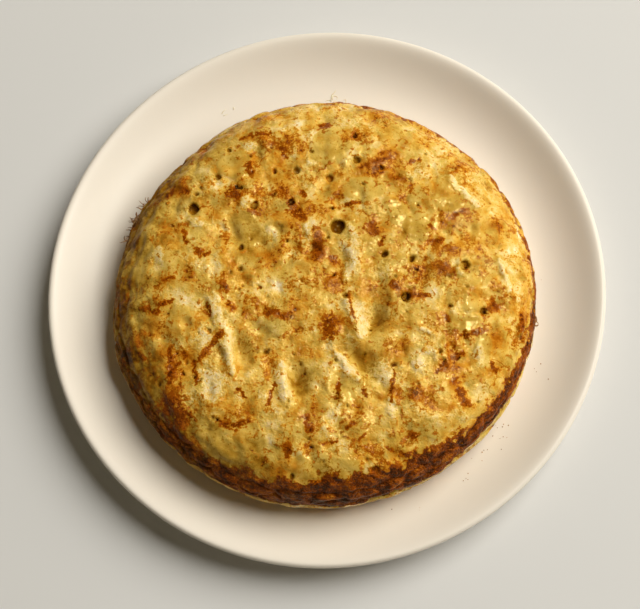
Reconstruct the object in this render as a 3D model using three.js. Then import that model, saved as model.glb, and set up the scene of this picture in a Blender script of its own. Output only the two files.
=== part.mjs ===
// A spanish omelette lying on a shallow coupe plate.
// Sizes are millimetres. The plate stands on z = 0 with its centre on the Z axis.
import * as THREE from "three";

const TURNS = 80;

const PLATE_RADIUS = 135;
const PLATE_HEIGHT = 18.5;
const WELL_RADIUS = 102;
const WELL_HEIGHT = 8.5;
const WELL_WALL = 5;
const LIP_WALL = 3.6;
const LIP_SLOPE = THREE.MathUtils.degToRad(3);
const SIDE_START_EASE = 17;
const SIDE_END_EASE = 5;
const SIDE_STEPS = 10;
const LIP_STEPS = 5;
const FOOT_OUTER_RADIUS = 86;
const FOOT_FACE = 5;
const FOOT_EDGE = 0.8;
const FOOT_FLARE = 1.6;
const UNDERSIDE_HEIGHT = WELL_HEIGHT - WELL_WALL;

const OMELETTE_CENTRE = new THREE.Vector2(0, -7.2);
const OMELETTE_RADIUS = 100.9;
const REST_GAP = 0.3;
const WIDEST_HEIGHT = 12;
const CROWN_RISE = 24;
const SHOULDER_POWER = 6;
const BOTTOM_RADIUS = 90;
const BOTTOM_RINGS = 6;
const TOP_RINGS = 20;
const RELIEF_EDGE_POWER = 8;

// Waves that take the omelette's outline out of round, each once round per count.
const OUTLINE_WAVES = [
  { count: 2, cos: 0.43, sin: 0.38 },
  { count: 3, cos: 0.02, sin: -0.32 },
  { count: 4, cos: 0.31, sin: 0.09 },
  { count: 5, cos: -0.23, sin: -0.01 },
];

// Dents and swells of the top, with places from the omelette's middle, half-sizes and a turn in degrees.
const TOP_SHAPES = [
  { name: "right dent", x: 24, y: -15, wide: 5, long: 8, turn: -8, height: -4.8 },
  { name: "lower right dent", x: 17, y: -37, wide: 4.5, long: 9, turn: 40, height: -4.4 },
  { name: "left dent", x: -39, y: -29, wide: 4.5, long: 8, turn: 15, height: -4 },
  { name: "lower dent", x: -12, y: -45, wide: 4.5, long: 7, turn: 8, height: -4 },
  { name: "upper left dent", x: -38, y: 27, wide: 9, long: 11, turn: 30, height: -2 },
  { name: "right rim of a slice", x: 15, y: -17, wide: 3, long: 14, turn: 12, height: 1.6 },
  { name: "left fold", x: -46, y: -22, wide: 3, long: 20, turn: 14, height: 2 },
  { name: "middle fold", x: 16, y: 17, wide: 3, long: 14, turn: 4, height: 1.5 },
];

/** A material with its own colour and roughness. */
function material(color, roughness) {
  return new THREE.MeshStandardMaterial({ color, roughness, metalness: 0 });
}

/** A closed mesh that faces out, turned from rings of points that share one count. */
function ringedMesh(rings, low, high, surface) {
  const positions = [low, ...rings.flat(), high].flatMap((point) => point.toArray());
  const highIndex = positions.length / low.toArray().length - 1;
  const corner = (ring, turn) => 1 + ring * TURNS + (turn % TURNS);
  const faces = [];
  for (let turn = 0; turn < TURNS; turn += 1) {
    faces.push(0, corner(0, turn + 1), corner(0, turn));
    faces.push(highIndex, corner(rings.length - 1, turn), corner(rings.length - 1, turn + 1));
  }
  for (let ring = 0; ring + 1 < rings.length; ring += 1) {
    for (let turn = 0; turn < TURNS; turn += 1) {
      const near = corner(ring, turn);
      const next = corner(ring, turn + 1);
      const above = corner(ring + 1, turn);
      const nextAbove = corner(ring + 1, turn + 1);
      faces.push(near, next, nextAbove);
      faces.push(near, nextAbove, above);
    }
  }
  const geometry = new THREE.BufferGeometry();
  geometry.setAttribute("position", new THREE.Float32BufferAttribute(positions, low.toArray().length));
  geometry.setIndex(faces);
  geometry.computeVertexNormals();
  return new THREE.Mesh(geometry, surface);
}

/** The line of the plate's inner side, from the flat of the well out to the lip. */
function innerSide(lipCentre) {
  const lipTop = new THREE.Vector2(-Math.sin(LIP_SLOPE), Math.cos(LIP_SLOPE));
  const end = lipTop.multiplyScalar(LIP_WALL / 2).add(lipCentre);
  const easeIn = new THREE.Vector2(-Math.cos(LIP_SLOPE), -Math.sin(LIP_SLOPE));
  return new THREE.CubicBezierCurve(
    new THREE.Vector2(WELL_RADIUS, WELL_HEIGHT),
    new THREE.Vector2(WELL_RADIUS + SIDE_START_EASE, WELL_HEIGHT),
    easeIn.multiplyScalar(SIDE_END_EASE).add(end),
    end,
  );
}

/** The rounded edge of the lip, from its inner face over to its outer face. */
function lipEdge(lipCentre) {
  const points = [];
  for (let step = 1; step < LIP_STEPS; step += 1) {
    const angle = Math.PI / 2 + LIP_SLOPE - (Math.PI * step) / LIP_STEPS;
    const reach = new THREE.Vector2(Math.cos(angle), Math.sin(angle)).multiplyScalar(LIP_WALL / 2);
    points.push(reach.add(lipCentre));
  }
  return points;
}

/** The plate's outer side: the inner side set back by a wall that thins towards the lip. */
function outerSide(inner) {
  const points = [];
  for (let step = SIDE_STEPS; step >= 0; step -= 1) {
    const along = step / SIDE_STEPS;
    const tangent = inner.getTangent(along);
    const wall = THREE.MathUtils.lerp(WELL_WALL, LIP_WALL, along);
    const outward = new THREE.Vector2(tangent.y, -tangent.x).multiplyScalar(wall);
    points.push(outward.add(inner.getPoint(along)));
  }
  return points;
}

/** The foot ring, from the underside outside it to the underside within it. */
function footRing() {
  const inner = FOOT_OUTER_RADIUS - FOOT_FACE;
  return [
    new THREE.Vector2(FOOT_OUTER_RADIUS + FOOT_FLARE, UNDERSIDE_HEIGHT),
    new THREE.Vector2(FOOT_OUTER_RADIUS + FOOT_EDGE, FOOT_EDGE),
    new THREE.Vector2(FOOT_OUTER_RADIUS, 0),
    new THREE.Vector2(inner, 0),
    new THREE.Vector2(inner - FOOT_EDGE, FOOT_EDGE),
    new THREE.Vector2(inner - FOOT_FLARE, UNDERSIDE_HEIGHT),
  ];
}

/** The plate, turned from its section. */
function plate() {
  const lipCentre = new THREE.Vector2(PLATE_RADIUS - LIP_WALL / 2, PLATE_HEIGHT - LIP_WALL / 2);
  const inner = innerSide(lipCentre);
  const section = [
    new THREE.Vector2(0, WELL_HEIGHT),
    ...inner.getPoints(SIDE_STEPS),
    ...lipEdge(lipCentre),
    ...outerSide(inner),
    ...footRing(),
    new THREE.Vector2(0, UNDERSIDE_HEIGHT),
  ];
  const geometry = new THREE.LatheGeometry(section.reverse(), TURNS);
  geometry.rotateX(Math.PI / 2);
  return new THREE.Mesh(geometry, material(0xf0e4d0, 0.25));
}

/** How far the omelette's widest line lies from its centre at an angle. */
function outlineRadius(angle) {
  const waves = OUTLINE_WAVES.map(
    (wave) => wave.cos * Math.cos(wave.count * angle) + wave.sin * Math.sin(wave.count * angle),
  );
  return waves.reduce((sum, wave) => sum + wave, OMELETTE_RADIUS);
}

/** The height that the dents and swells add at a place on the top. */
function topRelief(x, y) {
  return TOP_SHAPES.reduce((sum, shape) => {
    const turn = THREE.MathUtils.degToRad(shape.turn);
    const place = new THREE.Vector2(x - shape.x, y - shape.y).sub(OMELETTE_CENTRE);
    place.rotateAround(new THREE.Vector2(), -turn);
    const away = (place.x / shape.wide) ** 2 + (place.y / shape.long) ** 2;
    return sum + shape.height * Math.exp(-away);
  }, 0);
}

/** One ring of the omelette at a share of its outline, with a height for each point. */
function omeletteRing(share, heightAt) {
  const points = [];
  for (let turn = 0; turn < TURNS; turn += 1) {
    const angle = (2 * Math.PI * turn) / TURNS;
    const radius = outlineRadius(angle) * share;
    const x = OMELETTE_CENTRE.x + radius * Math.cos(angle);
    const y = OMELETTE_CENTRE.y + radius * Math.sin(angle);
    points.push(new THREE.Vector3(x, y, heightAt(x, y)));
  }
  return points;
}

/** The rounded rings from the omelette's flat bottom out to its widest line. */
function bottomRings() {
  const rings = [];
  const flatShare = BOTTOM_RADIUS / OMELETTE_RADIUS;
  for (let ring = 0; ring < BOTTOM_RINGS; ring += 1) {
    const angle = (Math.PI * ring) / (2 * BOTTOM_RINGS);
    const share = THREE.MathUtils.lerp(flatShare, 1, Math.sin(angle));
    const rise = (WIDEST_HEIGHT - REST_GAP) * (1 - Math.cos(angle));
    rings.push(omeletteRing(share, () => WELL_HEIGHT + REST_GAP + rise));
  }
  return rings;
}

/** The top surface at a share of the way out: a flat-crowned dome that turns down into the side. */
function topHeight(share, x, y) {
  const dome = CROWN_RISE * Math.sqrt(1 - share ** SHOULDER_POWER);
  const relief = topRelief(x, y) * (1 - share ** RELIEF_EDGE_POWER);
  return WELL_HEIGHT + WIDEST_HEIGHT + dome + relief;
}

/** The rings from the omelette's widest line up its side and over the top. */
function topRings() {
  const rings = [];
  for (let ring = TOP_RINGS; ring > 0; ring -= 1) {
    const share = Math.sin((Math.PI * ring) / (2 * TOP_RINGS));
    rings.push(omeletteRing(share, (x, y) => topHeight(share, x, y)));
  }
  return rings;
}

/** The omelette, closed by a flat bottom and a domed top. */
function omelette() {
  const { x, y } = OMELETTE_CENTRE;
  const low = new THREE.Vector3(x, y, WELL_HEIGHT + REST_GAP);
  const high = new THREE.Vector3(x, y, topHeight(0, x, y));
  return ringedMesh([...bottomRings(), ...topRings()], low, high, material(0xd9a548, 0.5));
}

/** Gives a mesh its node name. */
function named(name, mesh) {
  mesh.name = name;
  return mesh;
}

const part = new THREE.Group();
part.add(named("plate", plate()));
part.add(named("omelette", omelette()));

export default part;
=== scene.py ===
import collections
import itertools
import math

import bpy
import numpy as np
from mathutils import Matrix, Vector


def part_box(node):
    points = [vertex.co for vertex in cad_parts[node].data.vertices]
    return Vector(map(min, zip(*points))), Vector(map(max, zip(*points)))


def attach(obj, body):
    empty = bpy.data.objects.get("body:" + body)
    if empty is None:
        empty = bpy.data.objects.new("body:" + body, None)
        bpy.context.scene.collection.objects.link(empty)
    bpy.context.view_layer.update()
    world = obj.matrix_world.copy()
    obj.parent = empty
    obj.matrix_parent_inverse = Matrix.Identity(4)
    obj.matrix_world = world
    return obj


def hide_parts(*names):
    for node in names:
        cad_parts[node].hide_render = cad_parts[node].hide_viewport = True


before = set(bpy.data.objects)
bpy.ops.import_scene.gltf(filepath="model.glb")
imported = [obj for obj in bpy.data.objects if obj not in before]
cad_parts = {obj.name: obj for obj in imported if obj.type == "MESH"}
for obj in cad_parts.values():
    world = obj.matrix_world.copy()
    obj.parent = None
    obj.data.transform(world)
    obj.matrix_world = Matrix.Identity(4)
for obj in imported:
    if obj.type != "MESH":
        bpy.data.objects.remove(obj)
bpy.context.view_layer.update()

# The looks of a spanish omelette on its plate. Lengths are millimetres until a mesh is made.
MM = 0.001
PLATE_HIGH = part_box("plate")[1]
OMELETTE_LOW, OMELETTE_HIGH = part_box("omelette")

# The plate's section.
PLATE_RADIUS = PLATE_HIGH.x / MM
PLATE_HEIGHT = PLATE_HIGH.z / MM
WELL_RADIUS = 102
WELL_HEIGHT = 8.5
WELL_WALL = 5
LIP_WALL = 3.6
LIP_SLOPE = math.radians(3)
LIP_CENTRE = np.array([PLATE_RADIUS - LIP_WALL / 2, PLATE_HEIGHT - LIP_WALL / 2])
SIDE_START_EASE = 17
SIDE_END_EASE = 5
FOOT_OUTER_RADIUS = 86
FOOT_FACE = 5
FOOT_EDGE = 0.8
FOOT_FLARE = 1.6
UNDERSIDE_HEIGHT = WELL_HEIGHT - WELL_WALL
PLATE_TURNS = 288
SIDE_STEPS = 48
LIP_STEPS = 16
WELL_STEPS = 12

# The omelette's body.
OMELETTE_CENTRE = np.array([0, -7.2])
OMELETTE_RADIUS = 100.9
REST_HEIGHT = OMELETTE_LOW.z / MM
WIDEST_HEIGHT = WELL_HEIGHT + 12
CROWN_RISE = 24
SHOULDER_POWER = 6
BOTTOM_RADIUS = 90
RELIEF_EDGE_POWER = 8
SMOOTH_FOOT = 5
HIGHEST = OMELETTE_HIGH.z / MM - 0.05
SOFT_CAP = 1.6
# Waves that take its outline out of round: how many there are once round, and their two strengths.
OUTLINE_WAVES = ((2, 0.43, 0.38), (3, 0.02, -0.32), (4, 0.31, 0.09), (5, -0.23, -0.01))

# Its mesh.
VERTEX_SPACING = 0.74
DISC_RINGS = 124
BOTTOM_RINGS = 4
SECTORS = 6
CROWN_STEPS = 2000
UNDER_STEPS = 500
LAYOUT_REACH = 0.49

# The burnt band: an angle round the side, its lower and upper heights there, and its strength.
CRUST_BAND = (
    (-180, 20, 29, 0.1), (-150, 21, 31, 0.7), (-125, 22, 34, 1), (-95, 22.3, 36, 1), (-80, 22.3, 37.6, 1),
    (-65, 23, 36, 1), (-48, 25.5, 34, 1), (-25, 24, 31.5, 1), (-5, 18.5, 27.5, 0.8), (20, 18, 29, 0.5),
    (40, 18, 27, 0.5), (60, 18, 30, 0.5), (90, 18, 27, 0.5), (130, 18, 26, 0.4), (180, 20, 29, 0.1),
)

# The side starts at a share of the way out. Its bare part ends softly under the burnt band, and a lip of egg
# stands out of it over the browned bottom edge.
SIDE_START = 0.88
BARE_TOP = 22.2
BARE_FADE = 7
EGG_LIP_HEIGHT = 19.7
EGG_LIP_WIDTH = 1.6
LOWER_CRUST_TOP = 13

# The middle of the side away from the light, towards which painted shade darkens and dulls the skin.
PAINTED_SHADE_SIDE = math.radians(188)

# The side's folds are noise round a smaller circle, which draws them out along the side.
STRETCH_RADIUS = 27
FOLD_SQUEEZE = 2.2
WRINKLE_SQUEEZE = 130

# The slices on edge round the side: how many in a row, how high a row is, and how many rows.
SLICES_ROUND = 38
SLICE_ROW = 4.6
SLICE_ROWS = 14

# The frizz at the omelette's edge: the middle angle of a tuft, how far it spreads, how many strands.
FRIZZ = ((155.5, 1.4, 66), (151, 2.6, 30), (160, 3, 16), (-9, 3, 8))
FRIZZ_RISE = 6
FRIZZ_ROOT = 1
FRIZZ_SPLAY = 1.1
FRIZZ_CLIMB = (-0.2, 0.6)
FRIZZ_LENGTH = (2, 5)
FRIZZ_RADIUS = (0.2, 0.36)

# Each strand: how it tapers, and how much it bends, wanders and climbs at a step, in radians.
STRAND_SIDES = 5
STRAND_STEPS = 8
STRAND_TAPER = 0.97
STRAND_BEND = 0.7
STRAND_WANDER = 0.3
STRAND_CLIMB = 0.2

# Wisps on the plate: x, y, turn in degrees, length, how many.
WISPS = ((4, 101, 100, 7, 4), (8, 99, 30, 5, 2), (-51, 95, 50, 4, 2), (-47, 98, 20, 3, 1))
WISP_RADIUS = (0.14, 0.26)
WISP_LIFT = 0.05

# Crumbs on the plate: x, y, how far they scatter, how many.
CRUMBS = (
    (83, -70, 2.2, 9), (76, -80, 2.6, 6), (66, -92, 3, 4), (100, 4, 2.5, 5), (102, -40, 2, 4),
    (40, -104, 4, 4),
)
CRUMB_SIDES = 7
CRUMB_SIZE = (0.14, 0.32)

# How much steeper the left of a deep dent and the right of a fold are.
DENT_LEAN = 1.8
FOLD_LEAN = 2.5


# ---- small helpers

def smooth(low, high, value):
    """A soft step from 0 at low to 1 at high."""
    share = np.clip((value - low) / (high - low), 0, 1)
    return share * share * (3 - 2 * share)


def turns(count):
    """Angles spread evenly once round."""
    return np.arange(count) * 2 * math.pi / count


def polar(reach, angle):
    """The x and y at a distance and an angle."""
    return [reach * np.cos(angle), reach * np.sin(angle)]


def unit(vectors):
    """Each vector at length 1."""
    return vectors / np.linalg.norm(vectors, axis=1)[:, None]


# ---- noise

SEED = 7
LATTICE = 48
RANDOM = np.random.default_rng(SEED)
SLOPES = RANDOM.normal(size=(LATTICE, LATTICE, LATTICE, 3))


def noise(places, cell, shift):
    """Smooth noise of about -1 to 1 at each place, with one hill or dip to a cell."""
    scaled = places / cell + shift
    base = np.floor(scaled).astype(int)
    part = scaled - base
    ease = part**3 * (part * (part * 6 - 15) + 10)
    total = np.zeros(len(places))
    for corner in itertools.product((0, 1), repeat=3):
        index = (base + corner) % LATTICE
        slope = SLOPES[index[:, 0], index[:, 1], index[:, 2]]
        weight = np.prod(np.where(corner, ease, 1 - ease), axis=1)
        total += weight * np.sum(slope * (part - corner), axis=1)
    return total


def layered_noise(places, cell, layers, shift):
    """Noise with finer and weaker noise on top of it."""
    return sum(noise(places, cell / 2**k, shift + 11.3 * k) / 2**k for k in range(layers))


# ---- marks on the omelette, whose places are from its middle

# Dents and swells: x, y, half width, half length, turn in degrees, height.
TOP_SHAPES = (
    (24, -15, 5, 8, -8, -4.8), (17, -37, 4.5, 9, 40, -4.4), (-39, -29, 4.5, 8, 15, -4),
    (-12, -45, 4.5, 7, 8, -4), (-38, 27, 9, 11, 30, -2), (15, -17, 3, 14, 12, 1.6),
    (-46, -22, 3, 20, 14, 2), (16, 17, 3, 14, 4, 1.5),
)

# Folds of skin that drop off to their right, from far to near: from x, y, to x, y, half width, height.
FOLDS = (
    (-49, -3, -47, -11, 1.2, 0.3), (-47, -11, -42.5, -22, 1.3, 0.4), (-42.5, -22, -43, -29, 1.4, 0.5),
    (-43, -29, -40, -40, 1.4, 0.3), (13, 20, 17, 12, 1.3, 0.7), (17, 12, 12, 3, 1.2, 0.5),
    (12, -6, 19, -24, 1.2, 0.5), (8, -32, 18, -44, 1.2, 0.4), (-17, -38, -16, -52, 1.8, 0.3),
    (62, 53, 74, 40, 1.2, 0.5), (84, 12, 88, -2, 1.1, 0.5),
)

# Burst bubbles: x, y, radius, depth.
BUBBLES = (
    (8, 29, 3.4, 3.2), (-61, 40, 2.7, 2.4), (39, -6, 2.4, 2.4), (17, 63, 1.9, 2.2), (-12, 58, 1.7, 2.2),
    (-50, 56, 1.7, 2.4), (-32, 41, 1.9, 2), (43, 13, 1.6, 2.2), (24, -86, 1.8, 2), (4, 54, 1.8, 1.4),
    (75, -13, 1.8, 1.8), (30, 15, 1.5, 2), (11, -5, 1.4, 2.2), (33, -38, 1.3, 2.2), (16, 76, 1.3, 1.8),
    (-38, 9, 1.2, 2.2), (-26, -31, 1.3, 1.8), (-60, 48, 1.2, 1.6), (-14, -89, 1.3, 1.6),
    (-14, 42, 1.6, 1.2), (-22, 58, 1, 1.8), (50, 66, 0.7, 1.6), (42, 52, 0.7, 1.4), (72, -55, 0.8, 1.6),
    (-39, 50, 0.8, 1.6), (-22, 47, 0.7, 1.6), (7, -36, 0.7, 1.4), (55, -32, 0.8, 1.4), (-10, -37, 0.8, 1.2),
    (-57, -22, 0.7, 1.2), (-29, 0, 0.9, 1.4), (-37, 1, 0.7, 1.4), (12, -57, 0.8, 1.2), (-38, 20, 1.3, 1.2),
    (67, 9, 2.6, 1.8), (-45, 71, 1.4, 1.2),
)

# Slices of potato that show through the skin: x, y, half width, half length, strength, turn if any.
SLICES = (
    (-42, 62, 9, 8, 1, 20), (-36, 29, 8, 10, 0.8, 30), (-52, 71, 5, 5, 0.7), (3, 71, 8, 10, 0.8),
    (20, 48, 11, 6, 0.9), (47, 41, 6, 9, 0.9, 20), (61, 45, 9, 10, 0.6), (36, 35, 5, 9, 0.9, 30),
    (46, 29, 8, 7, 0.8), (22, 26, 6, 6, 0.7), (31, 9, 10, 7, 0.4), (-66, -17, 6, 9, 0.7),
    (-48, -61, 9, 8, 0.5, -20), (-46, -75, 13, 6, 0.8, -30), (69, -8, 4, 5, 0.8), (66, -19, 8, 4, 0.9, 10),
    (21, -30, 8, 12, 0.4, 20), (-24, -20, 8, 5, 0.5), (2, -85, 16, 6, 0.8), (-33, -70, 7, 7, 0.7),
    (75, -31, 4, 9, 0.8), (9, -49, 7, 8, 0.6), (57, -32, 3, 8, 0.8, 10), (-20, 29, 6, 4, 0.6),
    (-15, 9, 8, 6, 0.5, 30), (-70, 10, 6, 9, 0.5), (76, 25, 8, 6, 0.5, 20), (52, -67, 7, 5, 0.6, 30),
    (-85, 17, 5, 14, 0.8, -10), (35, 77, 9, 5, 0.5, -20),
)

# Pale, set egg, in the same way.
PALE_SPOTS = (
    (-35, 42, 5, 3, 1, 20), (-5, 30, 3, 5, 1, 10), (-24, 27, 3, 5, 1, 20), (15, 23, 3, 9, 0.9, 15),
    (15, 9, 5, 6, 0.8, -30), (-50, -10, 3, 9, 0.9, 15), (-43, -28, 3, 10, 1), (-16, -47, 3, 12, 0.8, 10),
    (19, -17, 3, 10, 1, 10), (14, -41, 3, 7, 1, 45), (33, -58, 3, 7, 1), (49, -23, 5, 2, 0.9, -20),
    (53, -33, 2, 6, 0.8, -15), (87, 9, 6, 3, 0.8, -20), (92, -3, 3, 9, 0.7), (72, 53, 9, 12, 0.5, 30),
    (56, 61, 6, 6, 0.4), (64, 8, 3, 4, 1), (-77, 18, 4, 5, 0.9), (-60, 33, 5, 3, 0.7), (-48, 18, 3, 5, 0.4),
    (-56, 12, 5, 5, 0.6), (73, -34, 3, 7, 0.8), (62, -13, 3, 5, 0.8), (44, -38, 4, 5, 0.9),
    (-28, -52, 4, 3, 0.8), (-4, 62, 4, 3, 0.7), (-34, 72, 4, 4, 0.9), (-19, 80, 4, 2, 0.8),
    (-4, 79, 3, 4, 0.7), (75, 17, 5, 4, 0.4), (-60, 52, 8, 8, 0.5), (5, -63, 6, 5, 0.6),
    (52, -63, 6, 4, 0.6, 20), (30, -13, 6, 3, 0.4), (10, -58, 3, 2, 0.8, 30), (-50, -46, 8, 10, 1, 10),
    (20, -12, 6, 6, 0.8), (16, 18, 6, 6, 0.7), (46, 56, 7, 6, 0.7), (30, 7, 8, 6, 0.6),
    (-53, -24, 8, 8, 0.8, 10), (-65, -25, 4, 5, 0.4), (14, -27, 4, 5, 0.6), (29, -42, 9, 7, 0.9),
    (45, -60, 7, 5, 0.6), (-50, -59, 5, 5, 0.5), (62, -60, 5, 5, 0.5), (16, 82, 12, 5, 0.6),
    (50, -46, 6, 6, 0.4), (-46, -14, 6, 6, 0.5),
)

# Toasted patches with soft edges, in the same way.
TOASTED = (
    (55, 10, 8, 15, 1.3), (55, 2, 7, 6, 1.1), (43, -4, 8, 3, 1, -5), (-17, 51, 7, 6, 0.6),
    (-20, -13, 10, 4, 0.7, 5), (-1, 19, 4, 7, 1), (25, 27, 5, 3, 0.9, -20), (-70, -53, 7, 10, 1, 20),
    (16, 73, 3, 6, 0.7, 10), (28, 60, 9, 6, 0.8, 30), (5, 2, 6, 5, 0.6), (45, -51, 6, 6, 0.5),
    (46, 50, 6, 6, 0.6), (82, -9, 3, 4, 0.8), (-44, 0, 4, 6, 0.6), (-10, 38, 6, 5, 0.8), (8, 41, 3, 6, 0.7),
    (36, -53, 4, 8, 0.7, 10), (14, -61, 8, 4, 0.5), (-5, -66, 4, 5, 0.9), (-10, -77, 8, 3, 0.6),
    (42, -70, 6, 4, 0.8, 20), (64, -52, 4, 4, 0.7), (-18, 70, 7, 3, 0.7, -20), (-36, 59, 4, 5, 0.7),
    (-70, -37, 3, 10, 0.5), (-15, 20, 9, 8, 0.5), (-22, 12, 8, 6, 0.4), (92, -20, 3, 9, 0.7, -10),
    (60, 27, 8, 4, 0.6, 20), (80, 13, 4, 3, 0.5), (78, 24, 8, 10, 0.4), (46, -16, 8, 8, 0.4),
    (16, -76, 12, 8, 0.4), (10, -92, 16, 4, 0.9), (-17, 8, 8, 6, 0.5), (14, 38, 6, 6, 0.6),
    (46, -9, 7, 7, 0.8), (77, -9, 6, 7, 0.8), (62, -27, 7, 6, 0.8), (30, 40, 8, 7, 0.5),
    (-28, 38, 6, 6, 0.3),
)

# Browned streaks and spots: from x, y, to x, y, half width.
BROWN_STREAKS = (
    (-45, 48, -40, 46, 1.9), (-14, 38, -9, 35, 2.1), (-2, 26, -1, 15, 1.9), (4, -17, 4, -22, 3.2),
    (66, -24, 74, -22, 1.5), (-85, -8, -77, -11, 1.2), (-77, -8, -70, -6, 1.1), (-47, -64, -40, -66, 1.1),
    (-40, -66, -33, -63, 1), (-6, -63, -5, -68, 1.9), (64, -50, 65, -55, 2), (80, -7, 82, -11, 1.1),
    (0, 82, 3, 82, 1.4), (-15, -76, -15, -79, 1.4), (61, -46, 62, -45, 1.1), (41, -70, 43, -71, 1.6),
    (34, -40, 32, -55, 0.8), (-56, -34, -46, -22, 1.1), (52, -42, 58, -38, 1), (61, -35, 66, -32, 1.3),
    (-25, -13, -17, -14, 1.4), (24, 30, 26, 27, 1.8), (-31, 78, -25, 77, 1), (-40, 76, -34, 78, 0.7),
    (-19, 70, -17, 66, 1.3), (-66, 52, -64, 50, 0.9), (-35, 62, -34, 58, 1.6), (-58, 18, -54, 17, 1.5),
    (-66, 29, -63, 23, 0.8), (26, 61, 34, 65, 1.1), (41, 61, 47, 64, 0.8), (61, 33, 67, 36, 1.1),
    (51, 29, 53, 27, 0.9), (52, 22, 58, 22, 0.8), (12, 40, 19, 41, 0.7), (-9, 47, -8, 45, 1.1),
    (33, 1, 34, -1, 1.3), (56, -15, 58, -18, 1), (79, -37, 80, -41, 1), (-74, 4, -70, 5, 0.9),
    (-45, 1, -44, -2, 1.1), (-43, -8, -41, -10, 1.1), (-53, -8, -52, -12, 0.9), (-71, -28, -70, -45, 0.9),
    (-38, -49, -36, -53, 0.9), (-59, -35, -58, -45, 1), (8, -47, 7, -54, 1.4), (12, -67, 15, -65, 0.9),
    (13, -3, 17, -23, 0.5), (1, -75, 7, -73, 0.5), (17, -73, 20, -70, 0.5), (30, -77, 38, -79, 0.6),
    (20, -50, 21, -52, 0.9), (42, -5, 49, -5, 1.2), (-70, -55, -65, -60, 4.6), (-86, -29, -84, -33, 0.9),
    (-64, -31, -63, -32, 1.2), (-69, -39, -66, -35, 0.9), (5, 14, 7, 12, 1.2), (30, 23, 28, 20, 0.9),
    (-22, -47, -24, -55, 0.8),
)


def scattered(count, reach, *ranges):
    """Rows for places strewn evenly over a disc: x, y, and a number from each range."""
    angle = RANDOM.uniform(0, 2 * math.pi, count)
    away = reach * np.sqrt(RANDOM.uniform(0, 1, count))
    chances = [RANDOM.uniform(*limits, count) for limits in ranges]
    return np.column_stack([*polar(away, angle), *chances])


# Pinholes: x, y, radius, depth.
PINHOLE_DEPTH = 1.1
PINHOLES = np.insert(scattered(60, 88, (0.45, 0.9)), 3, PINHOLE_DEPTH, axis=1)
HOLES = np.concatenate([BUBBLES, PINHOLES])

# Dimples: x, y, half width, half length, turn, height. Length and height are drawn as shares of the width.
DIMPLES = scattered(130, 92, (1.4, 3.2), (1, 2.6), (-60, 60), (0.3, 0.65))
DIMPLES[:, 3] *= DIMPLES[:, 2]
DIMPLES[:, 5] *= -DIMPLES[:, 2]

SLICE_JITTER = RANDOM.uniform(-0.5, 0.5, (SLICE_ROWS, SLICES_ROUND, 2))


def spot_reach(places, x, y, wide, long, turn, lean=1):
    """How far each place is from a spot's centre, where 1 is its edge. A lean over 1 steepens its left."""
    angle = math.radians(turn)
    away_x = places[:, 0] - x
    away_y = places[:, 1] - y
    across = away_x * math.cos(angle) + away_y * math.sin(angle)
    along = away_y * math.cos(angle) - away_x * math.sin(angle)
    across = np.where(across < 0, across * lean, across / math.sqrt(lean))
    return np.hypot(across / wide, along / long)


def streak_reach(places, from_x, from_y, to_x, to_y, half_width):
    """How far each place is from a line, where 1 is the edge of a streak along it."""
    start = np.array([from_x, from_y])
    run = np.array([to_x - from_x, to_y - from_y])
    away = places[:, :2] - start
    share = np.clip(away @ run / (run @ run), 0, 1)
    return np.linalg.norm(away - share[:, None] * run, axis=1) / half_width


def fold_reach(places, from_x, from_y, to_x, to_y, half_width):
    """How far each place is from a fold, which slopes gently on its left and steeply on its right."""
    run_x, run_y = to_x - from_x, to_y - from_y
    left = run_x * (places[:, 1] - from_y) < run_y * (places[:, 0] - from_x)
    reach = streak_reach(places, from_x, from_y, to_x, to_y, half_width)
    return np.where(left, reach / FOLD_LEAN, reach)


# ---- the omelette's body

# Points of the skin: their share of the way out, their run from the crown, their angle, and whether they are
# above the widest line.
Skin = collections.namedtuple("Skin", "places share run angle upper")


def outline_radius(angle):
    """How far the widest line lies from the omelette's centre."""
    waves = sum(cosine * np.cos(count * angle) + sine * np.sin(count * angle)
                for count, cosine, sine in OUTLINE_WAVES)
    return OMELETTE_RADIUS + waves


def dome_height(share):
    """The plain height of the top at a share of the way out."""
    return WIDEST_HEIGHT + CROWN_RISE * np.sqrt(np.clip(1 - share**SHOULDER_POWER, 0, 1))


def section_line():
    """Share out and height along the section: from the crown over the side to the flat bottom."""
    out = np.sin(np.linspace(0, math.pi / 2, CROWN_STEPS))
    under = np.linspace(math.pi / 2, 0, UNDER_STEPS)[1:]
    flat_share = BOTTOM_RADIUS / OMELETTE_RADIUS
    low_share = flat_share + (1 - flat_share) * np.sin(under)
    low_height = REST_HEIGHT + (WIDEST_HEIGHT - REST_HEIGHT) * (1 - np.cos(under))
    share = np.concatenate([out, low_share])
    height = np.concatenate([dome_height(out), low_height])
    steps = np.hypot(np.diff(share) * OMELETTE_RADIUS, np.diff(height))
    run = np.concatenate([[0], np.cumsum(steps)])
    return share, height, run, run[len(out) - 1]


def ring_points():
    """The undented surface as rings of points round the Z axis, and how many points each ring has."""
    share, height, run, widest_run = section_line()
    stops = np.linspace(0, run[-1], round(run[-1] / VERTEX_SPACING) + 1)
    flat = np.linspace(1, 0, BOTTOM_RINGS + 1)[1:] * BOTTOM_RADIUS / OMELETTE_RADIUS
    ring_share = np.concatenate([np.interp(stops, run, share), flat])
    ring_height = np.concatenate([np.interp(stops, run, height), np.full(len(flat), REST_HEIGHT)])
    ring_run = np.concatenate([stops, np.full(len(flat), stops[-1])])
    counts = [1, *(SECTORS * min(ring, DISC_RINGS) for ring in range(1, len(ring_share) - 1)), 1]
    ring = np.repeat(np.arange(len(counts)), counts)
    angle = np.concatenate([turns(count) for count in counts])
    around = polar(outline_radius(angle) * ring_share[ring], angle)
    places = np.column_stack([*around, ring_height[ring]])
    return Skin(places, ring_share[ring], ring_run[ring], angle, ring_run[ring] <= widest_run), counts


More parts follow.
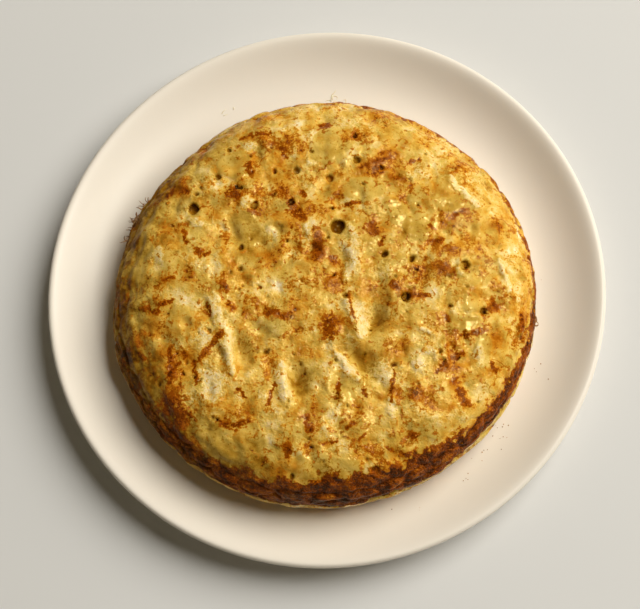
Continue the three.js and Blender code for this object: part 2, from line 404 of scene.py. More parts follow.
def ring_faces(counts):
    """Triangles between rings that grow by a point a sector, then stay alike, and close below."""
    faces = []
    start = np.cumsum([0, *counts])
    for ring in range(1, len(counts) - 1):
        inner, outer = counts[ring - 1], counts[ring]
        near, far = start[ring - 1], start[ring]
        step = np.arange(outer)
        sector = step // (outer // SECTORS) * (outer > inner)
        faces.append(np.column_stack([near + (step - sector) % inner, far + step, far + (step + 1) % outer]))
        if inner > 1:
            step = np.arange(inner)
            sector = step // (inner // SECTORS) * (outer > inner)
            faces.append(np.column_stack([near + step, far + (step + sector + 1) % outer,
                                          near + (step + 1) % inner]))
    step = np.arange(counts[-2])
    last, low = start[-3], start[-2]
    faces.append(np.column_stack([last + step, low + 0 * step, last + (step + 1) % counts[-2]]))
    return np.concatenate(faces).tolist()


def raggedness(places, *layers):
    """Noise that roughens an edge: pairs of cell size and strength."""
    return sum(strength * noise(places, cell, 1.7 * cell) for cell, strength in layers)


def upper_crust(skin):
    """The burnt band round the upper side, deep on the near side and thin on the far side."""
    stops, lows, tops, strengths = np.array(CRUST_BAND).T
    angle = (np.degrees(skin.angle) + 180) % 360 - 180
    top_edge = np.interp(angle, stops, tops)
    near = (top_edge - tops.min()) / (tops.max() - tops.min())
    top_edge += raggedness(skin.places, (14, 2), (6, 2.2), (3, 1.2)) * (0.3 + 0.7 * near)
    low_edge = np.interp(angle, stops, lows) + raggedness(skin.places, (9, 0.9), (3, 0.8))
    band = smooth(top_edge + 3, top_edge - 1.5, skin.places[:, 2])
    band *= smooth(low_edge - 0.8, low_edge + 0.8, skin.places[:, 2])
    return band * np.interp(angle, stops, strengths)


def lower_crust(skin):
    """The browned edge round the bottom."""
    edge = LOWER_CRUST_TOP + raggedness(skin.places, (12, 1.4), (5, 1))
    return 0.8 * smooth(edge + 2, edge - 2, skin.places[:, 2])


def slices_on_edge(skin):
    """Slices on edge round the side: how far each place is inside one, and how near a gap."""
    along = skin.angle / (2 * math.pi) * SLICES_ROUND
    up = skin.places[:, 2] / SLICE_ROW
    row = np.floor(up).astype(int)
    nearest = np.full((2, len(up)), 9.0)
    for row_step, step in itertools.product((-1, 0, 1), (-2, -1, 0, 1, 2)):
        cell_row = (row + row_step) % SLICE_ROWS
        shifted = along + 0.5 * (cell_row % 2)
        cell = np.floor(shifted).astype(int) + step
        jitter = SLICE_JITTER[cell_row, cell % SLICES_ROUND]
        away_x = (shifted - cell - 0.5 - 0.7 * jitter[:, 0]) * 1.1
        away_y = up - row - row_step - 0.5 - 0.5 * jitter[:, 1]
        nearest = np.sort(np.vstack([nearest, np.hypot(away_x, away_y)]), axis=0)[:2]
    inside = 1 - np.clip(nearest[0], 0, 1) ** 2
    gap = smooth(0.22, 0, nearest[1] - nearest[0])
    return inside, gap


def strongest(skin, spots, inside):
    """The strongest of several spots at every place."""
    result = np.zeros(len(skin.places))
    for spot in spots:
        result = np.maximum(result, inside(*spot))
    return result


def warped(places):
    """The places moved a little, which takes round holes out of round."""
    return places + 0.8 * np.column_stack([noise(places, 3.4, k) for k in (4.4, 7.2, 9.6)])


def omelette_marks(skin):
    """The share of each look at every place, for the skin's colours and relief."""
    places = skin.places
    flat = np.zeros(len(places))
    warp, fine = (np.column_stack([noise(places, cell, low), noise(places, cell, high), flat])
                  for cell, low, high in ((7, 3.1, 8.7), (2.6, 1.7, 5.9)))
    soft_places = places + 2.2 * warp
    sharp_places = places + 0.9 * warp + 0.9 * fine
    dent_places = warped(places)

    def soft_spot(outer, inner):
        def inside(x, y, wide, long, strength, turn=0):
            return strength * smooth(outer, inner, spot_reach(soft_places, x, y, wide, long, turn))
        return inside

    # Painted shade on the far wall of each deep dent, the wall that faces away from the light.
    def shaded_dent_wall(x, y, wide, long, turn, height):
        reach = spot_reach(places, x + 0.5 * wide, y, wide, long, turn)
        return np.exp(-reach ** 2) * min(1, -height / 4)

    def streak(*line):
        return smooth(2.3, 0.4, streak_reach(sharp_places, *line))

    def hole(x, y, radius, _):
        inside = radius - np.hypot(dent_places[:, 0] - x, dent_places[:, 1] - y)
        return np.clip(0.5 + 0.5 * inside, 0, 1)

    # Painted highlight: a pale line along each fold, standing for its lit face.
    def fold_highlight(*line):
        return smooth(2.5, 0.5, fold_reach(dent_places, *line[:-2], line[-2] / 2))

    marks = {
        "slice": strongest(skin, SLICES, soft_spot(1.08, 0.9)),
        # Pale set egg, and the painted highlight along the folds.
        "pale": np.maximum(strongest(skin, PALE_SPOTS, soft_spot(1.5, 0.3)), strongest(skin, FOLDS, fold_highlight)),
        "toast": strongest(skin, TOASTED, soft_spot(1.6, 0.3)),
        "brown": strongest(skin, BROWN_STREAKS, streak),
        "dent": strongest(skin, [spot for spot in TOP_SHAPES if spot[-1] < 0], shaded_dent_wall),
        "hole": strongest(skin, HOLES, hole),
    }
    top = smooth(1, 0.93, skin.share) * skin.upper
    marks = {name: value * top for name, value in marks.items()}
    side = np.where(skin.upper, smooth(SIDE_START - 0.04, SIDE_START, skin.share), 1)
    marks["crust"] = np.maximum(upper_crust(skin), lower_crust(skin)) * side
    marks["side"] = side * smooth(BARE_TOP + BARE_FADE, BARE_TOP, places[:, 2])
    marks["slab"], marks["gap"] = slices_on_edge(skin)
    # Painted shade: the skin's colour grows darker and duller towards the side away from the light.
    far_left = smooth(0.1, 0.9, np.cos(skin.angle - PAINTED_SHADE_SIDE))
    marks["shade"] = far_left * np.where(skin.upper, smooth(0.72, 0.97, skin.share), 1)
    return marks


def omelette_relief(skin, marks):
    """How far the skin stands out at every place."""
    places = skin.places
    top = np.where(skin.upper, np.clip(1 - skin.share**RELIEF_EDGE_POWER, 0, 1), 0)
    relief = np.zeros(len(places))
    for *spot, height in TOP_SHAPES:
        relief += height * np.exp(-spot_reach(places, *spot, DENT_LEAN if height < -3 else 1) ** 2)
    dent_places = warped(places)
    for *spot, height in DIMPLES:
        relief += height * np.exp(-spot_reach(dent_places, *spot) ** 2)
    for *line, height in FOLDS:
        relief += height * np.exp(-fold_reach(dent_places, *line) ** 2)
    relief += raggedness(places, (32, 0.9), (15, 1.1))
    relief += 0.4 * marks["slice"] * (1 + noise(places, 9, 2.2))
    relief += 0.7 * marks["pale"]
    relief *= top
    for x, y, radius, depth in HOLES:
        reach = np.hypot(dent_places[:, 0] - x, dent_places[:, 1] - y) / radius
        relief -= depth * smooth(1.2, 0.5, reach) * top
    relief += raggedness(places, (7, 0.52), (3.6, 0.2))
    relief += 0.4 * marks["crust"] * noise(places, 3, 3.3)
    return relief + side_relief(skin, marks)


def side_relief(skin, marks):
    """Slices on edge, and folds of skin that run along the side."""
    side = np.where(skin.upper, smooth(SIDE_START, 0.98, skin.share), 1)
    around = polar(STRETCH_RADIUS, skin.angle)
    stretched = np.column_stack([*around, skin.places[:, 2] * FOLD_SQUEEZE])
    folds = layered_noise(stretched, 7, 3, 5.5)
    wrinkled = np.column_stack([*around, skin.share * WRINKLE_SQUEEZE])
    wrinkles = marks["shade"] * skin.upper * layered_noise(wrinkled, 5, 2, 3.7)
    lip = np.exp(-((skin.places[:, 2] - EGG_LIP_HEIGHT) / EGG_LIP_WIDTH) ** 2)
    lip *= 0.5 + 0.5 * noise(skin.places, 5, 2.4)
    return 0.8 * wrinkles + side * (0.6 * folds + 0.8 * marks["slab"] - 0.9 * marks["gap"] - 0.9 + 0.4 * lip)


def mesh_object(name, vertices_mm, faces):
    """A smooth-shaded mesh object from points in millimetres."""
    mesh = bpy.data.meshes.new(name)
    mesh.from_pydata((np.asarray(vertices_mm) * MM).tolist(), [], faces)
    mesh.polygons.foreach_set("use_smooth", [True] * len(mesh.polygons))
    mesh.update()
    made = bpy.data.objects.new(name, mesh)
    bpy.context.scene.collection.objects.link(made)
    return made


def vertex_normals(made):
    """The normals of a mesh object's vertices."""
    normals = np.zeros(len(made.data.vertices) * 3, np.float32)
    made.data.vertices.foreach_get("normal", normals)
    return normals.reshape(-1, 3)


def add_layout(made, flat_points):
    """Gives a mesh its own texture layout from one point for each vertex."""
    layer = made.data.uv_layers.new(name="OFBake")
    corners = np.zeros(len(made.data.loops), np.int32)
    made.data.loops.foreach_get("vertex_index", corners)
    layer.data.foreach_set("uv", flat_points[corners].astype(np.float32).ravel())


def make_omelette():
    """The fried omelette: its body, relief, marks and texture layout."""
    skin, counts = ring_points()
    made = mesh_object("omelette_fried", skin.places, ring_faces(counts))
    marks = omelette_marks(skin)
    relief = omelette_relief(skin, marks)
    relief *= smooth(REST_HEIGHT, REST_HEIGHT + SMOOTH_FOOT, skin.places[:, 2])
    moved = skin.places + vertex_normals(made) * relief[:, None]
    start = HIGHEST - SOFT_CAP
    over = np.maximum(moved[:, 2] - start, 0)
    moved[:, 2] += SOFT_CAP * np.tanh(over / SOFT_CAP) - over
    moved[:, :2] += OMELETTE_CENTRE
    made.data.vertices.foreach_set("co", (moved * MM).astype(np.float32).ravel())
    made.data.update()
    for name, values in marks.items():
        layer = made.data.attributes.new(name, "FLOAT", "POINT")
        layer.data.foreach_set("value", values.astype(np.float32))
    reach = skin.run / skin.run.max() * LAYOUT_REACH
    add_layout(made, 0.5 + np.column_stack(polar(reach, skin.angle)))
    return made


# ---- the plate

def plate_inner_side():
    """The cubic curve of the plate's inner side, from the flat of the well out to the lip."""
    end = LIP_CENTRE + polar(LIP_WALL / 2, LIP_SLOPE + math.pi / 2)
    ease_out = end - polar(SIDE_END_EASE, LIP_SLOPE)
    start = np.array([WELL_RADIUS, WELL_HEIGHT])
    ease_in = start + (SIDE_START_EASE, 0)
    t = np.linspace(0, 1, SIDE_STEPS + 1)[:, None]
    return start * (1 - t)**3 + 3 * ease_in * t * (1 - t)**2 + 3 * ease_out * t**2 * (1 - t) + end * t**3


def plate_surface(x, y):
    """The height of the plate's upper face at a place on it."""
    inner = plate_inner_side()
    return np.interp(math.hypot(x, y), inner[:, 0], inner[:, 1])


def plate_section():
    """The plate's section, from the middle of the well over the lip to the middle of the underside."""
    inner = plate_inner_side()
    run = unit(np.gradient(inner, axis=0))
    wall = np.linspace(WELL_WALL, LIP_WALL, len(inner))[:, None]
    outer = (inner + wall * np.column_stack([run[:, 1], -run[:, 0]]))[::-1]
    turn = math.pi / 2 + LIP_SLOPE - math.pi * np.arange(1, LIP_STEPS) / LIP_STEPS
    edge = LIP_CENTRE + np.column_stack(polar(LIP_WALL / 2, turn))
    well = [(WELL_RADIUS * step / WELL_STEPS, WELL_HEIGHT) for step in range(1, WELL_STEPS)]
    foot = [(FOOT_FLARE, UNDERSIDE_HEIGHT), (FOOT_EDGE, FOOT_EDGE), (0, 0)]
    foot_outer = [(FOOT_OUTER_RADIUS + out, height) for out, height in foot]
    foot_inner = [(FOOT_OUTER_RADIUS - FOOT_FACE - out, height) for out, height in reversed(foot)]
    return np.concatenate([well, inner, edge, outer, foot_outer, foot_inner])


def make_plate():
    """The glazed plate, turned from its section."""
    rings = [np.column_stack([*polar(radius, turns(PLATE_TURNS)), np.full(PLATE_TURNS, height)])
             for radius, height in plate_section()]
    points = np.concatenate([[(0, 0, WELL_HEIGHT)], *rings, [(0, 0, UNDERSIDE_HEIGHT)]])
    starts = [1 + ring * PLATE_TURNS for ring in range(len(rings))]
    faces = []
    for step in range(PLATE_TURNS):
        after = (step + 1) % PLATE_TURNS
        faces.append((0, starts[0] + step, starts[0] + after))
        faces += [(near + step, far + step, far + after, near + after)
                  for near, far in itertools.pairwise(starts)]
        faces.append((starts[-1] + after, starts[-1] + step, len(points) - 1))
    return mesh_object("plate_glazed", points, faces)


# ---- frizz, wisps and crumbs

def tube_faces(rings, sides):
    """Triangles round a tube of rings and over both its ends."""
    faces = []
    for ring, step in itertools.product(range(rings - 1), range(sides)):
        near, after = ring * sides + step, ring * sides + (step + 1) % sides
        faces += [(near, after, after + sides), (near, after + sides, near + sides)]
    last = (rings - 1) * sides
    faces += [(0, step + 1, step) for step in range(1, sides - 1)]
    faces += [(last, last + step, last + step + 1) for step in range(1, sides - 1)]
    return faces


def strand(path, radius):
    """A thin tapered strand along a path, as its points and faces."""
    run = unit(np.gradient(path, axis=0))
    side = unit(np.cross(run, (0, 0, 1)))
    rise = np.cross(side, run)
    taper = radius * np.sqrt(1 - np.linspace(0, STRAND_TAPER, len(path)) ** 2)
    turn = turns(STRAND_SIDES)
    rings = [centre + wide * (np.outer(np.cos(turn), across) + np.outer(np.sin(turn), over))
             for centre, wide, across, over in zip(path, taper, side, rise)]
    return np.concatenate(rings), tube_faces(len(path), STRAND_SIDES)


def joined(name, parts):
    """One mesh object from several lots of points and faces."""
    points, faces, start = [], [], 0
    for part_points, part_faces in parts:
        points.append(part_points)
        faces += [tuple(start + index for index in face) for face in part_faces]
        start += len(part_points)
    return mesh_object(name, np.concatenate(points), faces)


def curling_path(start, heading, climb, length):
    """A path that wanders from its start, turning a little at each step."""
    bend = RANDOM.uniform(-STRAND_BEND, STRAND_BEND)
    path = [np.array(start, float)]
    for _ in range(STRAND_STEPS):
        ahead = np.array([math.cos(heading), math.sin(heading), climb])
        path.append(path[-1] + ahead * length / STRAND_STEPS)
        heading += bend + RANDOM.uniform(-STRAND_WANDER, STRAND_WANDER)
        climb += RANDOM.uniform(-STRAND_CLIMB, STRAND_CLIMB)
    return np.array(path)


def make_frizz():
    """Short browned strands that stand out from the omelette's side."""
    parts = []
    for middle, spread, count in FRIZZ:
        for _ in range(count):
            angle = math.radians(middle + RANDOM.uniform(-spread, spread))
            height = RANDOM.uniform(WIDEST_HEIGHT, WIDEST_HEIGHT + FRIZZ_RISE)
            share = (1 - ((height - WIDEST_HEIGHT) / CROWN_RISE) ** 2) ** (1 / SHOULDER_POWER)
            reach = outline_radius(angle) * share - FRIZZ_ROOT
            start = (*(OMELETTE_CENTRE + polar(reach, angle)), height)
            heading = angle + RANDOM.uniform(-FRIZZ_SPLAY, FRIZZ_SPLAY)
            path = curling_path(start, heading, RANDOM.uniform(*FRIZZ_CLIMB), RANDOM.uniform(*FRIZZ_LENGTH))
            parts.append(strand(path, RANDOM.uniform(*FRIZZ_RADIUS)))
    return joined("egg_frizz", parts)


def make_wisps():
    """Pale wisps of egg that lie on the plate."""
    parts = []
    for x, y, turn, length, count in WISPS:
        for _ in range(count):
            start = (x + RANDOM.uniform(-1.5, 1.5), y + RANDOM.uniform(-1, 1), 0)
            heading = math.radians(turn) + RANDOM.uniform(-0.5, 0.5)
            path = curling_path(start, heading, 0, length * RANDOM.uniform(0.5, 1))
            path[:, 2] = [plate_surface(*place) + WISP_LIFT for place in path[:, :2]]
            parts.append(strand(path, RANDOM.uniform(*WISP_RADIUS)))
    return joined("egg_wisps", parts)


def make_crumbs():
    """Tiny browned crumbs on the plate, each a dented lump of three rings."""
    parts = []
    ring = np.column_stack([*polar(1, turns(CRUMB_SIDES)), np.zeros(CRUMB_SIDES)])
    lump = np.concatenate([ring * 0.8 - (0, 0, 0.4), ring, ring * 0.6 + (0, 0, 0.6)])
    for x, y, spread, count in CRUMBS:
        for _ in range(count):
            place_x = x + RANDOM.normal(0, spread)
            place_y = y + RANDOM.normal(0, spread)
            size = RANDOM.uniform(*CRUMB_SIZE)
            points = lump * size * RANDOM.uniform(0.7, 1.3, lump.shape)
            place = (place_x, place_y, plate_surface(place_x, place_y) + 0.3 * size)
            parts.append((points + place, tube_faces(3, CRUMB_SIDES)))
    return joined("brown_crumbs", parts)


# ---- how materials are built

NOISE_SWING = 13


class Nodes:
    """Builds one material's nodes."""

    def __init__(self, name):
        self.material = bpy.data.materials.new(name)
        self.material.use_nodes = True
        self.tree = self.material.node_tree
        self.shader = self.tree.nodes["Principled BSDF"]
        self.place = self.tree.nodes.new("ShaderNodeTexCoord").outputs["Object"]

    def add(self, kind, inputs, **settings):
        """A node with its settings and its inputs, each a value or another node's output."""
        node = self.tree.nodes.new(kind)
        for key, value in settings.items():
            setattr(node, key, value)
        for key, value in inputs.items():
            self.feed(node.inputs[key], value)
        return node

    def feed(self, socket, value):
        """Puts a value or a link into a socket."""
        if isinstance(value, bpy.types.NodeSocket):
            self.tree.links.new(value, socket)
        else:
            socket.default_value = value

    def mark(self, name):
        """A mark stored on the mesh."""
        return self.add("ShaderNodeAttribute", {}, attribute_name=name).outputs["Fac"]

    def noise(self, size_mm, detail=2, roughness=0.5):
        """Noise from 0 to 1 whose hills are about size_mm across."""
        return self.add("ShaderNodeTexNoise", {
            "Vector": self.place, "Scale": 1 / (size_mm * MM), "Detail": detail,
            "Roughness": roughness}).outputs["Fac"]

    def wave(self, size_mm, strength, detail=2, roughness=0.5):
        """Noise about 0 whose usual swing is the strength."""
        centred = self.minus(self.noise(size_mm, detail, roughness), 0.5)
        return self.times(centred, strength * NOISE_SWING)

    def line(self, noise, width):
        """1 along the line where a noise crosses its middle, fading out over the width."""
        away = self.math("ABSOLUTE", self.minus(noise, 0.5))
        return self.step(away, 1.6 * width, 0.5 * width)

    def step(self, value, low, high):
        """A soft step from 0 at low to 1 at high."""
        return self.add("ShaderNodeMapRange", {"Value": value, "From Min": low, "From Max": high},
                        interpolation_type="SMOOTHSTEP").outputs["Result"]

    def math(self, operation, first, second=0, clamp=False):
        """A sum, product or other operation on two values."""
        return self.add("ShaderNodeMath", {0: first, 1: second}, operation=operation,
                        use_clamp=clamp).outputs[0]

    def times(self, first, second):
        """The product of two values."""
        return self.math("MULTIPLY", first, second)

    def minus(self, first, second):
        """The first value less the second."""
        return self.math("SUBTRACT", first, second)

    def larger(self, first, second):
        """The larger of two values."""
        return self.math("MAXIMUM", first, second)

    def total(self, *terms):
        """The sum of several terms, each a value or a pair of values to multiply."""
        result, *others = [self.times(*term) if isinstance(term, tuple) else term for term in terms]
        for value in others:
            result = self.math("ADD", result, value)
        return result

    def clamped(self, value):
        """A value kept within 0 to 1."""
        return self.math("ADD", value, 0, clamp=True)

    def blend(self, share, base, over):
        """One value over another."""
        return self.total(base, (share, self.minus(over, base)))

    def mix(self, share, base, over):
        """One colour over another."""
        node = self.add("ShaderNodeMix", {"Factor": share}, data_type="RGBA")
        self.feed(node.inputs["A"], base)
        self.feed(node.inputs["B"], over)
        return node.outputs["Result"]

    def ramp(self, value, stops):
        """A colour from a row of (place, colour) stops."""
        node = self.add("ShaderNodeValToRGB", {"Fac": value})
        elements = node.color_ramp.elements
        while len(elements) < len(stops):
            elements.new(1)
        for element, (place, seen) in zip(elements, stops):
            element.position = place
            element.color = colour(*seen)
        return node.outputs["Color"]

    def bump(self, height_mm):
        """Fine relief, as a height in millimetres."""
        normal = self.add("ShaderNodeBump", {"Height": height_mm, "Distance": MM, "Strength": 1})
        self.feed(self.shader.inputs["Normal"], normal.outputs["Normal"])

    def set(self, **inputs):
        """Sets the shader's own sockets."""
        for key, value in inputs.items():
            self.feed(self.shader.inputs[key.replace("_", " ")], value)


def colour(red, green, blue):
    """A colour of 0 to 255 as the eye sees it, as the light's own values."""
    seen = np.array([red, green, blue]) / 255
    linear = np.where(seen <= 0.04045, seen / 12.92, ((seen + 0.055) / 1.055) ** 2.4)
    return (*linear.tolist(), 1)


# ---- the materials

# Rows of colours from the darkest tone at 0 to the palest at 1.
FRIED_TINT = (
    (0, (60, 20, 0)), (0.15, (118, 50, 0)), (0.3, (162, 80, 2)), (0.45, (194, 116, 18)),
    (0.6, (219, 155, 45)), (0.75, (235, 189, 83)), (0.88, (247, 214, 135)), (1, (255, 234, 186)),
)
DULL_TINT = (
    (0, (56, 28, 0)), (0.15, (102, 56, 1)), (0.3, (146, 94, 8)), (0.45, (178, 132, 38)),
    (0.6, (206, 164, 66)), (0.75, (228, 192, 94)), (0.88, (245, 213, 135)), (1, (255, 232, 184)),
)
CRUMB_TINT = ((0, (120, 70, 10)), (0.5, (160, 104, 30)), (1, (196, 144, 66)))
WISP_TINT = ((0, (226, 204, 150)), (0.5, (238, 222, 180)), (1, (246, 236, 206)))
FRIZZ_TINT = ((0, (104, 60, 20)), (0.5, (158, 108, 48)), (1, (206, 160, 88)))
CREAM_GLAZE = colour(243, 235, 221)
CREAM_GLAZE_CLOUD = colour(237, 227, 211)
FLOOR_GREY = colour(222, 222, 220)

# Tones of fried egg, from burnt at 0 over gold to set egg at 1, and the most that browning takes away.
SKIN_TONE = 0.71
SLICE_TONE = 0.62
CURD_TONE = 0.83
CHAR_TONE = 0.34
CRUST_TONE = 0.15
MOST_BROWNING = 0.42


class FriedEgg(Nodes):
    """The omelette's skin, laid on look by look.

    Its tone says how pale it is, and its green how far it goes from the fried colours to the dull ones.
    """

    def __init__(self):
        super().__init__("fried_egg")
        for name in "slice pale toast brown crust hole side slab gap dent shade".split():
            setattr(self, name, self.mark(name))
        self.plain = self.minus(1, self.times(self.slice, 0.8))
        self.grit = self.wave(0.9, 1)
        self.lumps = self.wave(2.8, 1, 3)
        self.patch = self.wave(7, 1, 3)

    def lay(self, share, tone):
        """Lays another tone over the skin."""
        self.tone = self.blend(share, self.tone, tone)

    def change(self, *, tone=(), green=()):
        """Adds terms to the tone and the green."""
        self.tone = self.total(self.tone, *tone)
        self.green = self.total(self.green, *green)

    def start_golden(self):
        """Golden skin with painted shade, darker and duller towards the side away from the light, and the
        layers that show round the side.
        """
        layers = self.total((self.slab, 0.2), (self.gap, -0.3))
        self.tone = self.total(SKIN_TONE, (self.patch, 0.06), self.wave(14, 0.05), (self.lumps, 0.035),
                               (self.grit, 0.02), self.wave(26, 0.03), (self.shade, -0.35),
                               (layers, self.side))
        self.green = self.total(0.35, self.wave(12, 0.25), (self.side, 0.4), (self.shade, 0.7))

    def add_slices(self):
        """Slices of potato just under the skin, and smaller dull spots."""
        dull = self.times(self.step(self.noise(5), 0.54, 0.68), 0.7)
        sunk = self.larger(self.slice, dull)
        slice_tone = self.total(SLICE_TONE, (self.patch, 0.05), (self.lumps, 0.015), (self.grit, 0.01))
        self.lay(self.times(sunk, 0.85), slice_tone)
        self.change(green=[(sunk, 0.9)])

    def add_curds(self):
        """Curds of pale egg, and the painted highlight along the folds."""
        wisp = self.times(self.line(self.noise(12, 4, 0.55), 0.02), self.step(self.noise(15), 0.5, 0.62))
        blot = self.step(self.noise(8, 4, 0.55), 0.54, 0.66)
        spot = self.step(self.total(self.pale, (self.lumps, 0.12), (self.grit, 0.06)), 0.2, 0.85)
        wisp = self.times(self.times(wisp, self.plain), 0.8)
        self.curd = self.larger(spot, self.larger(wisp, self.times(blot, 0.65)))
        curd_tone = self.total(CURD_TONE, (self.pale, 0.16), (self.lumps, 0.05), (self.grit, 0.02))
        self.lay(self.times(self.curd, self.total(0.85, (self.shade, -0.5))), curd_tone)
        # The dent mark dulls the far walls of the deep dents: painted shade.
        self.change(green=[(self.curd, 0.1), (self.dent, 1.2)])

    def add_browning(self):
        """Clusters of browned grains and short threads over a toasted film."""
        cluster = self.total(self.noise(8), (self.toast, 0.22), self.wave(20, 0.03), -0.045,
                             (self.slice, -0.07), (self.curd, -0.07), (self.dent, -0.12))
        flakes = self.total(cluster, self.wave(2.2, 0.06, 4, 0.65))
        self.film = self.step(flakes, 0.47, 0.65)
        self.core = self.step(self.total(flakes, self.wave(1.1, 0.035)), 0.59, 0.69)
        lace = self.times(self.line(self.noise(4.5), 0.032), self.step(self.noise(8), 0.53, 0.62))
        loose = self.times(self.line(self.noise(16, 3, 0.45), 0.008), self.step(self.noise(11), 0.52, 0.6))
        self.threads = self.times(self.larger(self.times(lace, 0.65), loose), self.plain)
        near = self.total(self.step(cluster, 0.5, 0.6), 0.25)
        self.grains = self.times(self.step(self.grit, 0.7, 1.4), near)
        # The dent mark darkens the far walls of the deep dents: painted shade.
        browning = self.total((self.film, 0.13), (self.core, 0.2), (self.threads, 0.24), (self.grains, 0.16),
                              (self.dent, 0.25))
        spared = self.larger(self.times(self.shade, 0.7), self.times(self.pale, 0.6))
        browning = self.math("MINIMUM", self.times(browning, self.minus(1, spared)), MOST_BROWNING)
        self.change(tone=[(browning, -1)], green=[(self.film, -0.6), (self.threads, -0.6)])

    def add_burns(self):
        """Burnt streaks and spots."""
        self.burn = self.step(self.total(self.brown, self.wave(1.4, 0.15, 3), (self.lumps, 0.2)), 0.15, 1.05)
        char_tone = self.total(CHAR_TONE, (self.grit, 0.05), (self.lumps, 0.07), (self.brown, -0.2))
        self.lay(self.times(self.burn, 0.92), char_tone)
        self.change(green=[(self.burn, -1)])

    def add_holes(self):
        """Burst bubbles and pinholes, with painted shade darkening them inside."""
        self.opened = self.step(self.total(self.hole, (self.grit, 0.05)), 0.45, 0.75)
        # Painted shade inside the holes.
        self.change(tone=[(self.step(self.hole, 0, 0.6), -0.15), (self.opened, -0.24)], green=[self.hole])

    def add_crust(self):
        """The burnt band and the browned bottom edge."""
        reach = self.total(self.crust, (self.patch, 0.1), (self.lumps, 0.16), (self.grit, 0.05))
        self.change(tone=[(self.step(reach, 0.12, 0.5), -0.15)])
        self.crusted = self.step(reach, 0.38, 0.6)
        crust_tone = self.total(CRUST_TONE, (self.patch, 0.07), (self.lumps, 0.05), (self.grit, 0.04),
                                (self.shade, 0.06))
        self.lay(self.crusted, crust_tone)
        # The shade mark dulls the colour here too: painted shade.
        self.change(green=[(self.crusted, -1), (self.shade, 0.4)])

    def finish(self):
        """Feeds the shader: the colour, a moist coat and the fine relief."""
        fried, dull = self.ramp(self.tone, FRIED_TINT), self.ramp(self.tone, DULL_TINT)
        dry = self.clamped(self.total((self.film, 0.3), self.threads, self.core, self.burn))
        wet = self.step(self.noise(7), 0.42, 0.58)
        roughness = self.total(0.15, (wet, -0.05), (dry, 0.05), (self.crusted, 0.25), (self.shade, 0.5))
        uneven = self.total((self.lumps, 0.05), (self.grit, 0.014))
        self.bump(self.total((uneven, self.plain), (self.curd, 0.1), (self.threads, 0.02), (self.core, 0.04),
                             (self.grains, -0.02), (self.burn, -0.05), (self.opened, -0.4),
                             (self.times(self.crusted, self.grit), 0.05)))
        self.set(Base_Color=self.mix(self.clamped(self.green), fried, dull), Roughness=roughness,
                 Subsurface_Weight=0.12, Subsurface_Scale=0.003, Subsurface_Radius=(1, 0.5, 0.15),
                 Specular_IOR_Level=0.35, Specular_Tint=(1, 0.86, 0.42, 1))


def omelette_material():
    """Fried egg and potato: golden skin, pale egg, olive slices, brown flecks and a moist coat, with painted
    shade and painted highlights.
    """
    egg = FriedEgg()
    egg.start_golden()
    egg.add_slices()
    egg.add_curds()
    egg.add_browning()
    egg.add_burns()
    egg.add_holes()
    egg.add_crust()
    egg.finish()
    return egg.material


def plate_material():
    """Cream glaze with the faintest cloudiness."""
    glaze = Nodes("cream_glaze")
    cloud = glaze.noise(30, 4)
    glaze.set(Base_Color=glaze.mix(glaze.times(cloud, 0.35), CREAM_GLAZE, CREAM_GLAZE_CLOUD),
              Roughness=glaze.total((cloud, 0.08), 0.38))
    glaze.bump(glaze.times(glaze.noise(14), 0.05))
    return glaze.material


def speckled_material(name, stops, middle, size_mm, swing, **sockets):
    """A material whose tone wanders along a row of colours."""
    nodes = Nodes(name)
    tone = nodes.total(middle, nodes.wave(size_mm, swing))
    nodes.set(Base_Color=nodes.ramp(tone, stops), **sockets)
    return nodes.material


def frizz_material():
    """Egg fried hard, from tan to dark brown along the strands."""
    return speckled_material("hard_fried_egg", FRIZZ_TINT, 0.5, 2, 0.25, Roughness=0.45)


def wisp_material():
    """Pale set egg."""
    return speckled_material("pale_egg", WISP_TINT, 0.5, 2, 0.2, Roughness=0.35, Subsurface_Weight=0.2,
                             Subsurface_Scale=0.001)


def crumb_material():
    """Browned crumbs."""
    return speckled_material("brown_crumb", CRUMB_TINT, 0.6, 1.5, 0.25, Roughness=0.5)


def floor_material():
    """A plain pale surface."""
    floor = Nodes("pale_floor")
    floor.set(Base_Color=FLOOR_GREY, Roughness=0.8)
    return floor.material


# ---- the studio

FLOOR_HALF = 3000
LIGHT_DISTANCE = 3
CAMERA_AIM = Vector((-2.1, -8.2, 16.7))
CAMERA_AZIMUTH = -78.4
CAMERA_ELEVATION = 73.4
CAMERA_DISTANCE = 800


def direction(azimuth, elevation):
    """The way from the plate to a place, in degrees from +X towards +Y and above the horizon."""
    turn, rise = math.radians(azimuth), math.radians(elevation)
    return Vector((math.cos(turn) * math.cos(rise), math.sin(turn) * math.cos(rise), math.sin(rise)))


def make_floor():
    """The plain floor that the plate stands on."""
    corners = [(-1, -1, 0), (1, -1, 0), (1, 1, 0), (-1, 1, 0)]
    floor = mesh_object("floor", np.array(corners) * FLOOR_HALF, [(0, 1, 2, 3)])
    floor.data.materials.append(floor_material())


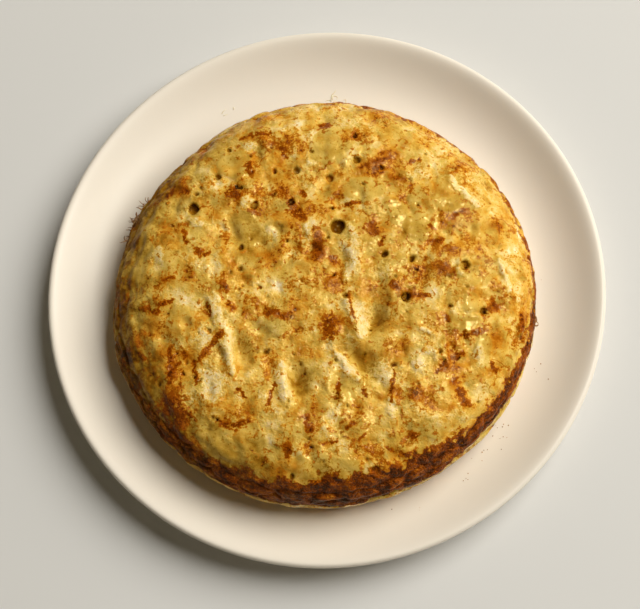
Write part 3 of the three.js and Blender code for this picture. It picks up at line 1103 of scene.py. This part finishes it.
def area_light(name, azimuth, elevation, size, power, tint):
    """A soft round light that faces the plate."""
    towards = direction(azimuth, elevation)
    light = bpy.data.lights.new(name, "AREA")
    light.shape = "DISK"
    light.size = size
    light.energy = power
    light.color = tint
    made = bpy.data.objects.new(name, light)
    made.location = towards * LIGHT_DISTANCE
    made.rotation_euler = towards.to_track_quat("Z", "Y").to_euler()
    bpy.context.scene.collection.objects.link(made)
    return made


def make_lights():
    """A soft key without glints, a small lamp for the glints alone, and a dim sky."""
    key = area_light("key", azimuth=28, elevation=45, size=2.7, power=125, tint=(1, 0.965, 0.9))
    key.visible_glossy = False
    lamp = area_light("lamp", azimuth=30, elevation=66, size=0.4, power=46, tint=(1, 0.95, 0.82))
    lamp.visible_diffuse = False
    world = bpy.data.worlds.new("sky")
    world.use_nodes = True
    background = world.node_tree.nodes["Background"]
    background.inputs["Color"].default_value = (1, 0.82, 0.5, 1)
    background.inputs["Strength"].default_value = 0.075
    bpy.context.scene.world = world
    bpy.context.scene.view_settings.view_transform = "Standard"


def make_camera():
    """Looks down on the plate from in front and a little to the right."""
    back = direction(CAMERA_AZIMUTH, CAMERA_ELEVATION)
    right = (-back).cross(Vector((0, 1, 0))).normalized()
    up = back.cross(right)
    data = bpy.data.cameras.new("camera")
    data.sensor_width = 36
    data.lens = 93.3
    camera = bpy.data.objects.new("camera", data)
    place = Matrix((right, up, back)).transposed().to_4x4()
    place.translation = (CAMERA_AIM + back * CAMERA_DISTANCE) * MM
    camera.matrix_world = place
    bpy.context.scene.collection.objects.link(camera)
    bpy.context.scene.camera = camera


# ---- the scene

plate = make_plate()
plate.data.materials.append(plate_material())
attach(plate, "root")
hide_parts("plate")

omelette = make_omelette()
omelette.data.materials.append(omelette_material())
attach(omelette, "root")
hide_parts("omelette")

for made, surface, slot in (
    (make_frizz(), frizz_material(), "omelette_crust"),
    (make_wisps(), wisp_material(), "omelette_crust"),
    (make_crumbs(), crumb_material(), "omelette_crust"),
):
    made.data.materials.append(surface)
    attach(made, "root")

make_floor()
make_lights()
make_camera()
